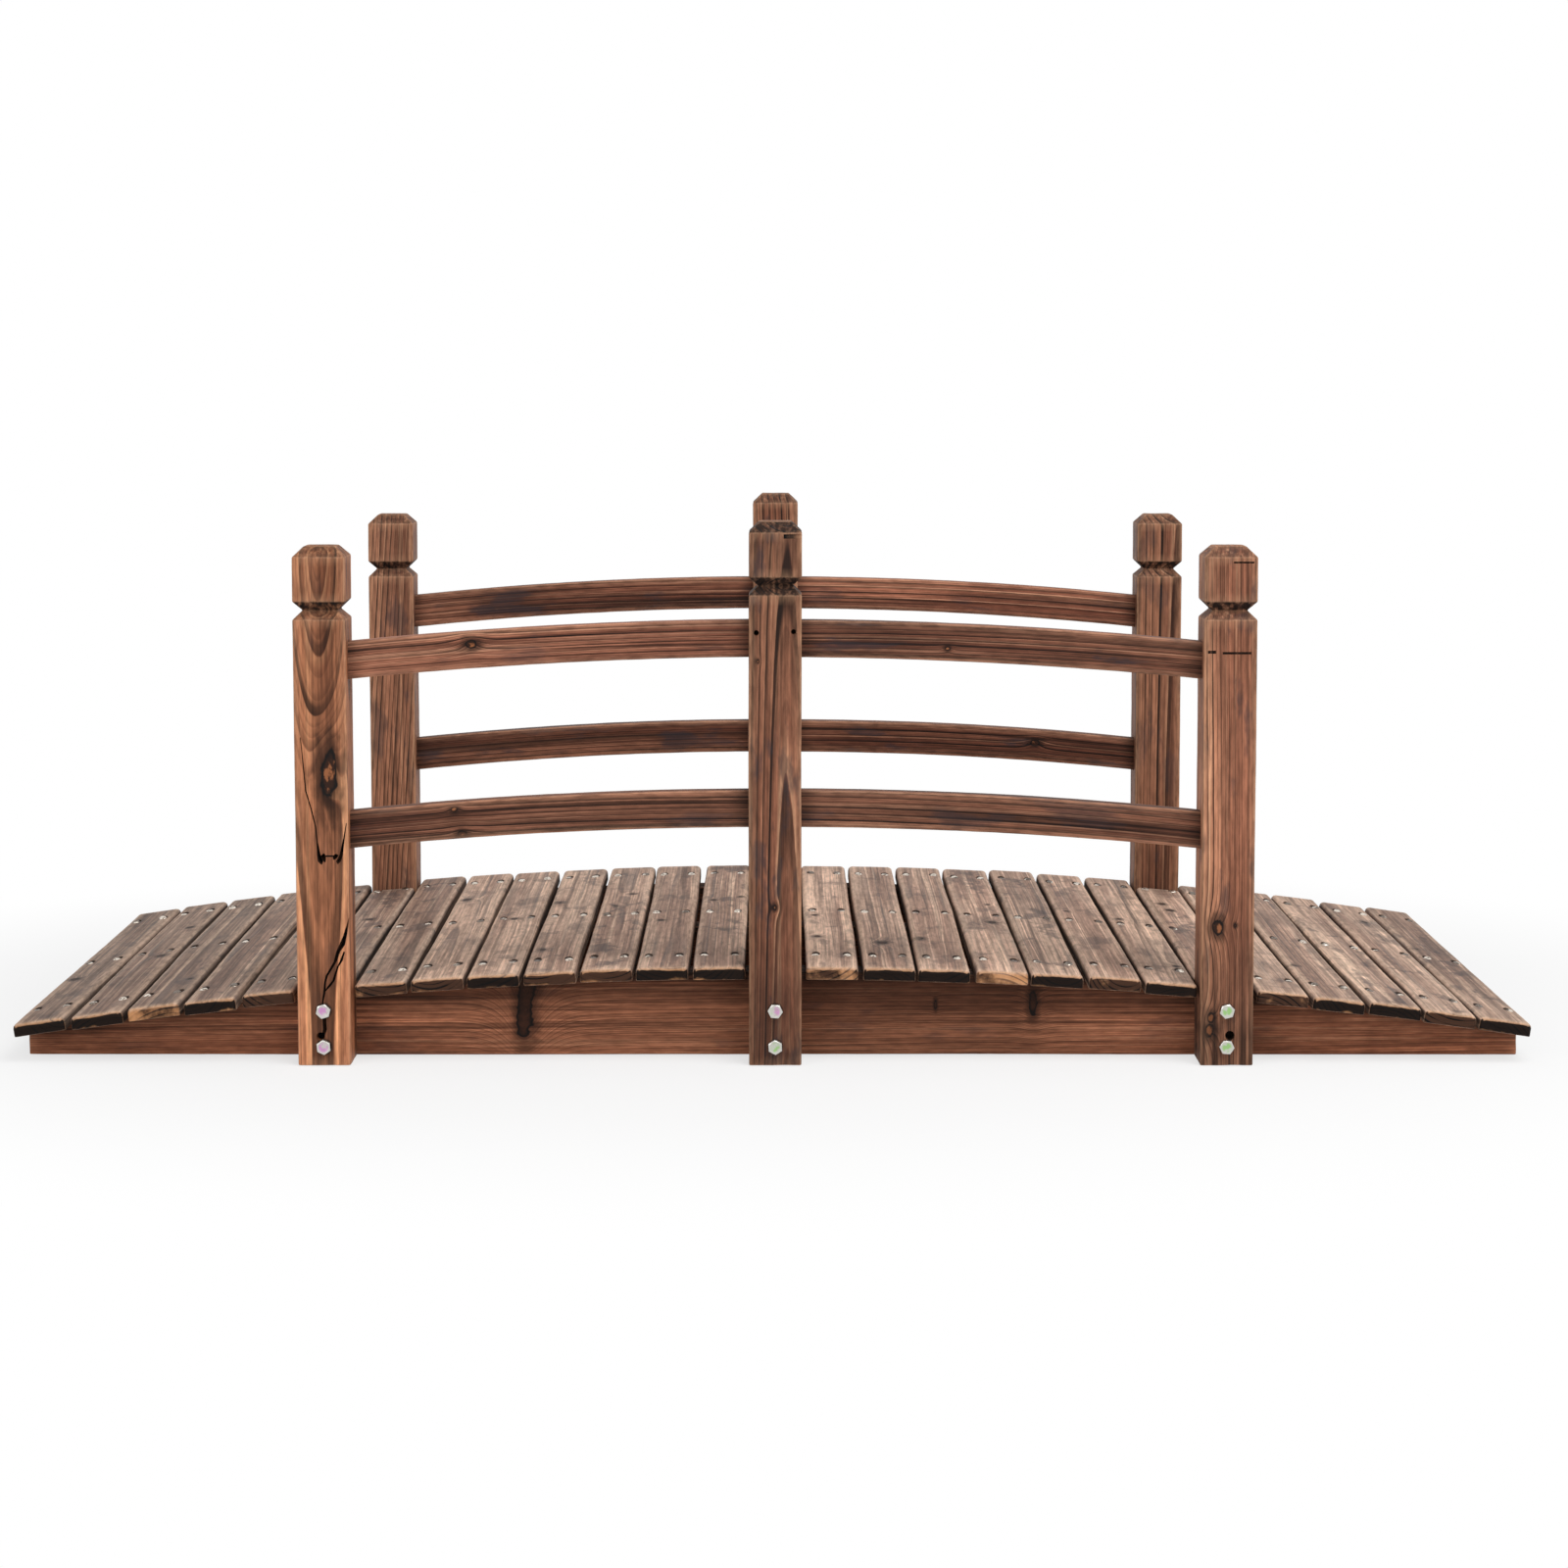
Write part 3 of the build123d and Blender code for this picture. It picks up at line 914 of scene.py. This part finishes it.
def make_stringer(place):
    """Beam with a flat underside and an arched top."""
    node = f"stringer_{place}"
    points = node_points(node)
    low, high = points.min(axis=0), points.max(axis=0)
    end_top = points[points[:, 0] > high[0] - ON_PLANE][:, 2].max()
    center, radius = arch_through(0, high[2], high[0], end_top)
    half = (high[1] - low[1]) / 2
    middle_y = (high[1] + low[1]) / 2

    beam = Timber(node, "stringer_wood", seed=7 + STRINGERS.index(place))
    cap = end_top * CAP_SHARE
    left = low[0] - (END_BOARD_SPREAD if place == "front" else 0)
    path = capped_path(left, high[0], cap, SAWN_ROUND, step=0.01)

    def section_at(u, inset):
        top = center + math.sqrt(radius**2 - u**2)
        edge = max(SAWN_ROUND - inset, LEAST_ROUND)
        return (inset, -half + inset), (top - inset, half - inset), (edge,) * 4

    beam.loft(path, section_at, steps=(9, 5))
    # Scorch and painted shadow: the stringer darkens towards its top under the deck's overhang
    below_deck = center + np.sqrt(radius**2 - beam.points[:, 0] ** 2) - beam.points[:, 1]
    scorch = STRINGER_SCORCH_AND_SHADE * (beam.points[:, 1] + below_deck) / high[2]
    beam.marks[:, 2] = np.clip(1 - below_deck / scorch, 0, 1)
    beam.lightness = np.interp(beam.points[:, 0], *STRINGER_LIGHTNESS)
    beam.pith = (-0.05, -0.05)
    beam.lean = (0.01, 0.008)
    beam.ring_width = 0.0036
    beam.knots = STRINGER_KNOTS
    beam.knot_stretch = 2.8
    beam.smudge = 0.8

    def to_world(rows):
        return np.column_stack([rows[:, 0], middle_y - rows[:, 2], rows[:, 1]])

    beam.place(to_world, waviness=0.0003)


def rail_frame(node):
    """Arch of a rail: its middle radius, center height, half height, half thickness, middle y and x range."""
    points = node_points(node)
    low, high = points.min(axis=0), points.max(axis=0)
    first, last = (points[abs(points[:, 0] - x) < ON_PLANE][:, 2] for x in (low[0], high[0]))
    center, outer = arch_through(low[0], first.max(), high[0], last.max())
    inner = math.hypot(low[0], first.min() - center)
    return {
        "radius": (outer + inner) / 2, "center": center, "half_height": (outer - inner) / 2,
        "half_thickness": (high[1] - low[1]) / 2, "y": (high[1] + low[1]) / 2, "x_range": (low[0], high[0]),
    }


def make_rail(level, side, end, seed):
    """Arched rail with its ends housed in two posts."""
    where = f"{level}_{side}_{end}"
    node = f"rail_{where}"
    arch = rail_frame(node)
    radius = arch["radius"]
    start, stop = (radius * math.asin(x / radius) for x in arch["x_range"])
    start, stop = start + RAIL_END_PLAY, stop - RAIL_END_PLAY

    rail = Timber(node, "rail_wood", seed=300 + seed)
    cap = arch["half_thickness"] * 0.85
    path = capped_path(start, stop, cap, SAWN_ROUND, step=0.008)
    # Painted shade: the rail darkens towards its ends, where they go into the posts
    near_post = RAIL_HOUSING + 0.01
    reach = np.minimum(path[:, 0] - start, stop - path[:, 0])
    path[:, 3] = np.clip(1.2 - reach / near_post, 0, 1) * 0.8

    def section_at(u, inset):
        edge = max(RAIL_ROUND - inset, LEAST_ROUND)
        v, w = arch["half_height"] - inset, arch["half_thickness"] - inset
        return (-v, -w), (v, w), (edge,) * 4

    rail.loft(path, section_at, steps=(6, 4))
    rng = rail.rng
    rail.pith = (rng.choice((-1, 1)) * rng.uniform(0.03, 0.09), rng.uniform(-0.03, 0.03))
    rail.lean = (rng.uniform(-0.012, 0.012), rng.uniform(-0.012, 0.012))
    rail.ring_width = rng.uniform(0.0042, 0.006)
    rail.knots = RAIL_KNOTS.get(where, ())
    rail.lightness = RAIL_TONES[f"{level}_{side}"][end == "right"]
    rail.smudge = rng.uniform(0.5, 1.0)

    def to_world(rows):
        angle = rows[:, 0] / radius
        reach = radius + rows[:, 1]
        x = reach * np.sin(angle)
        z = arch["center"] + reach * np.cos(angle)
        return np.column_stack([x, arch["y"] - rows[:, 2], z])

    rail.place(to_world, waviness=0.0002)


def mortise_shape(node, post_x, half, facing):
    """Box that cuts a rail's housing into a post, in the post's own axes."""
    arch = rail_frame(node)
    sign = 1 if sum(arch["x_range"]) / 2 > post_x else -1
    mouth_x = post_x + sign * half
    angle = math.asin(mouth_x / arch["radius"])
    height = arch["center"] + arch["radius"] * math.cos(angle)
    reach = np.array([arch["half_height"], RAIL_HOUSING, arch["half_thickness"]]) + MORTISE_CLEARANCE
    turn = angle if facing < 0 else -angle
    return box_shape((height, -facing * (post_x - mouth_x), 0), 2 * reach, turn)


def hand_marks(post, face_w):
    """Cutters for the holes, kerfs and splits in the outer face of a post."""
    holes = [
        hole_shape((u, v, face_w), radius, HOLE_DEPTH, HOLE_TAPER)
        for u, v, radius in POST_HOLES.get(post, [])
    ]
    kerfs = [
        box_shape((u, v, face_w), (height, width, 2 * KERF_DEPTH))
        for u, v, height, width in POST_KERFS.get(post, [])
    ]
    splits = [split_shape(line, face_w) for line in POST_SPLITS.get(post, [])]
    return holes + kerfs + splits


def make_post(side, end, seed):
    """Square post with a chamfered head over a V-cut neck."""
    where = f"{side}_{end}"
    node = f"post_{where}"
    low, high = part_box(node)
    facing = SIDES[side]
    post_x, post_y = (low.x + high.x) / 2, (low.y + high.y) / 2
    half_v, half_w = (high.x - low.x) / 2, (high.y - low.y) / 2
    height = high.z

    post = Timber(node, "post_wood", seed=500 + seed)
    neck = height - HEAD_CHAMFER - HEAD_HEIGHT - NECK_DEPTH
    cap = min(half_v, half_w) * 0.9
    corners = [
        (0, cap), (0, 0), (neck - NECK_DEPTH, 0), (neck, NECK_DEPTH), (neck + NECK_DEPTH, 0),
        (height - HEAD_CHAMFER, 0), (height, HEAD_CHAMFER), (height, cap),
    ]
    bevel = POST_BEVELS.get(where, POST_BEVEL_CHAR)
    faces = [(1, 0), (0, 0), (0, bevel), (0, 1.0), (0, 0), (0, bevel), (0.3, 0.4)]
    path = rounded_path(corners, faces, SAWN_ROUND, step=0.009)

    def section_at(u, inset):
        edge = max(POST_ROUND - max(inset - HEAD_CHAMFER, 0), LEAST_ROUND)
        return (-half_v + inset, -half_w + inset), (half_v - inset, half_w - inset), (edge,) * 4

    post.loft(path, section_at, steps=(7, 7))
    rails = [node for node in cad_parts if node.startswith("rail_") and f"_{side}_" in node]
    cutters = [
        mortise_shape(rail, post_x, half_v, facing) for rail in rails if end == "middle" or rail.endswith(end)
    ]
    foot = np.clip(1.2 - post.points[:, 0] / POST_FOOT_HEIGHT, 0, 1)
    foot = foot * POST_FEET.get(where, POST_FOOT_CHAR)
    post.marks[:, 2] = np.maximum(post.marks[:, 2], foot)
    post.cut(cutters + hand_marks(where, half_w))
    rng = post.rng
    post.pith = (rng.choice((-1, 1)) * rng.uniform(0.02, 0.06), rng.uniform(-0.03, 0.01))
    post.lean = (rng.uniform(-0.02, 0.02), rng.uniform(-0.03, 0.03))
    post.ring_width = rng.uniform(0.0052, 0.0072)
    post.lightness = np.interp(post.points[:, 0], POST_TONE_HEIGHTS, POST_TONES[where])
    post.smudge = rng.uniform(0.5, 1.0)
    # Heights of the bolts, which also place their painted shade
    post.shade_rows = BOLT_HEIGHTS
    for key, value in POST_GRAIN.get(where, {}).items():
        setattr(post, key, value)

    def to_world(rows):
        x = post_x + facing * rows[:, 1]
        y = post_y + facing * rows[:, 2]
        return np.column_stack([x, y, rows[:, 0]])

    post.place(to_world, waviness=0.0003)
    add_bolts(side, end, post_x, high.y if facing > 0 else low.y, facing)


def add_bolts(side, end, x, face_y, facing):
    """Two bolts through a post and its stringer, with washers and nuts inside."""
    rng = random.Random(f"bolts {side} {end}")
    stringer_low, stringer_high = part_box(f"stringer_{side}")
    inner_y = stringer_low.y if facing > 0 else stringer_high.y
    outward = Matrix.Rotation(math.radians(-90 * facing), 4, "X")
    inward = Matrix.Rotation(math.radians(90 * facing), 4, "X")
    shapes, plating = [], []
    for height in BOLT_HEIGHTS:
        twist = Matrix.Rotation(rng.uniform(0, 1.0), 4, "Z")
        at_head = Matrix.Translation((x, face_y, height)) @ outward @ twist
        at_nut = Matrix.Translation((x, inner_y, height)) @ inward @ twist
        for shape, matrix in [(head_shape, at_head)] + [(shape, at_nut) for shape in nut_shapes]:
            shapes.append(moved_shape(shape, matrix))
            plating += [(math.hypot(p[0], p[1]) / BOLT_ACROSS_FLATS, BOLT_CASTS[end], 0) for p in shape[0]]
    mesh = joined(f"bolts_{side}_{end}", shapes)
    store_vectors(mesh, "plating", plating)
    mesh.shade_smooth()
    mesh.set_sharp_from_angle(angle=math.radians(25))
    add_piece(mesh.name, mesh, materials["fasteners"])


def area_light(name, place, target, size, power):
    """Soft square light that looks at a point."""
    light = bpy.data.lights.new(name, "AREA")
    light.size = size
    light.energy = power
    lamp = add_object(name, light)
    lamp.location = place
    lamp.rotation_euler = (Vector(target) - Vector(place)).to_track_quat("-Z", "Y").to_euler()


def seen_directly(n):
    """1 for what is seen straight, mirrored or through glass, and 0 for light that falls on things."""
    path = n.add("LightPath").outputs
    first = n.math("MAXIMUM", path["Is Camera Ray"], path["Is Glossy Ray"])
    return n.math("MAXIMUM", first, path["Is Transmission Ray"])


def make_floor():
    """Pale floor that keeps the shadow and turns to plain white away from the bridge."""
    n = Nodes(bpy.data.materials.new("floor"))
    place = n.add("NewGeometry").outputs["Position"]
    away = n.vector("LENGTH", n.vector("MULTIPLY", place, (0.75, 1.0, 0.0)))
    white = n.times(n.ramp(away, 0.5, 1.0, 0.65, 1.0), seen_directly(n))
    matte = n.add("BsdfDiffuse", {"Color": FLOOR_GREY})
    glow = n.add("Emission", {"Color": WHITE, "Strength": 1.0})
    n.add("OutputMaterial", {"Surface": n.blend(white, matte, glow)})
    size, drop = 40.0, -0.0004
    mesh = bpy.data.meshes.new("floor")
    corners = [(-size, -size, drop), (size, -size, drop), (size, size, drop), (-size, size, drop)]
    mesh.from_pydata(corners, [], [(0, 1, 2, 3)])
    mesh.materials.append(n.owner)
    add_object("floor", mesh)


def make_world(ambient):
    """White backdrop for the camera and even soft light from all round."""
    n = Nodes(bpy.data.worlds.new("studio"))
    bpy.context.scene.world = n.owner
    light = n.add("Background", {"Color": WHITE, "Strength": ambient})
    backdrop = n.add("Background", {"Color": WHITE, "Strength": 1.0})
    n.add("OutputWorld", {"Surface": n.blend(seen_directly(n), light, backdrop)})


def make_camera():
    """Camera in front of the bridge and a little above it."""
    data = bpy.data.cameras.new("camera")
    data.sensor_width = 36.0
    data.lens = CAMERA_LENS
    data.shift_x, data.shift_y = CAMERA_SHIFT
    camera = add_object("camera", data)
    camera.location = CAMERA_PLACE
    camera.rotation_euler = (math.radians(90 - CAMERA_PITCH), 0, 0)
    bpy.context.scene.camera = camera


nail_profile = ((0.5, -2.5), (1.0, -0.3), (1.0, 0.4), (0.88, 0.75), (0.6, 0.95), (0.25, 1.0))
nail_shape = turned([(NAIL_RADIUS * radius, NAIL_HEIGHT * height) for radius, height in nail_profile])
head_shape = hex_shape(BOLT_ACROSS_FLATS, BOLT_HEAD_HEIGHT)
nut_base = Matrix.Translation((0, 0, WASHER_THICKNESS))
thread_top = WASHER_THICKNESS + NUT_HEIGHT + THREAD_OVERHANG
thread_side = thread_top - THREAD_CHAMFER
thread_profile = [(BOLT_RADIUS, 0), (BOLT_RADIUS, thread_side), (BOLT_RADIUS * 0.8, thread_top)]
washer_profile = [
    (BOLT_RADIUS, 0), (WASHER_RADIUS, 0), (WASHER_RADIUS, WASHER_THICKNESS), (BOLT_RADIUS, WASHER_THICKNESS),
]
nut_shapes = [
    turned(washer_profile, 40),
    moved_shape(hex_shape(BOLT_ACROSS_FLATS, NUT_HEIGHT), nut_base),
    turned(thread_profile, 24),
]

looks = {"deck": DECK_LOOK, "stringer": STRINGER_LOOK, "post": POST_LOOK, "rail": RAIL_LOOK}
materials = {f"{kind}_wood": wood_material(f"{kind}_wood_scorched", look) for kind, look in looks.items()}
materials["fasteners"] = zinc_material()
materials["nails"] = nail_material()

board_count = sum(node.startswith("deck_board_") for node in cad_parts)
for number in range(1, board_count + 1):
    make_board(number)
for place in STRINGERS:
    make_stringer(place)
for seed, (side, end) in enumerate((side, end) for side in SIDES for end in ENDS):
    make_post(side, end, seed)
rails = [(level, side, end) for level in LEVELS for side in SIDES for end in ("left", "right")]
for seed, (level, side, end) in enumerate(rails):
    make_rail(level, side, end, seed)

make_floor()
make_world(ambient=0.4)
area_light("key", (1.2, -1.8, 3.2), target=(0, 0, 0.2), size=2.4, power=95)
area_light("fill", (-2.4, -2.8, 1.6), target=(0, 0, 0.25), size=2.0, power=22)
make_camera()
bpy.context.scene.view_settings.view_transform = "Standard"
